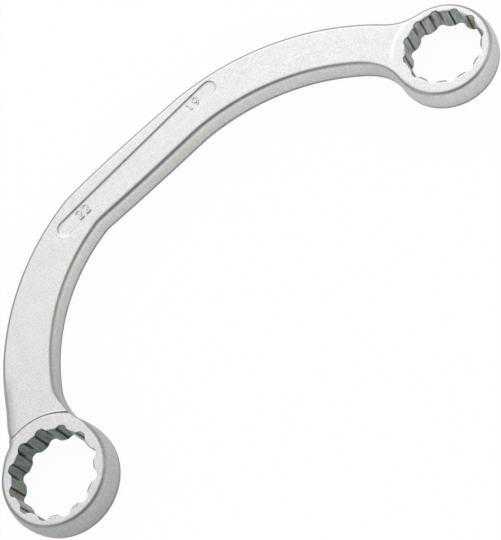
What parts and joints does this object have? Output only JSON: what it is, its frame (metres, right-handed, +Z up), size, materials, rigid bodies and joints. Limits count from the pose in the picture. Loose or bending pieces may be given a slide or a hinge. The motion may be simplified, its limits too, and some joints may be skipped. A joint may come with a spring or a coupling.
{
  "type": "ring spanner",
  "caption": "Half-moon ring spanner: a bowed flat handle joins a larger and a smaller bi-hexagon ring lying in one plane.",
  "frame": {"origin": "middle of the bounding box's base, on the surface that the spanner lies on", "axes": "+X from the large ring to the small ring, +Y towards the bulge of the handle, +Z up along the bores, out of the face that lies uppermost"},
  "size_m": [0.1788, 0.0726, 0.0089],
  "materials": {
    "satin_chrome": "fine satin chrome plating over forged steel, with polished bores"
  },
  "bodies": {
    "root": {"spanner_forging": "satin_chrome"}
  },
  "joints": []
}
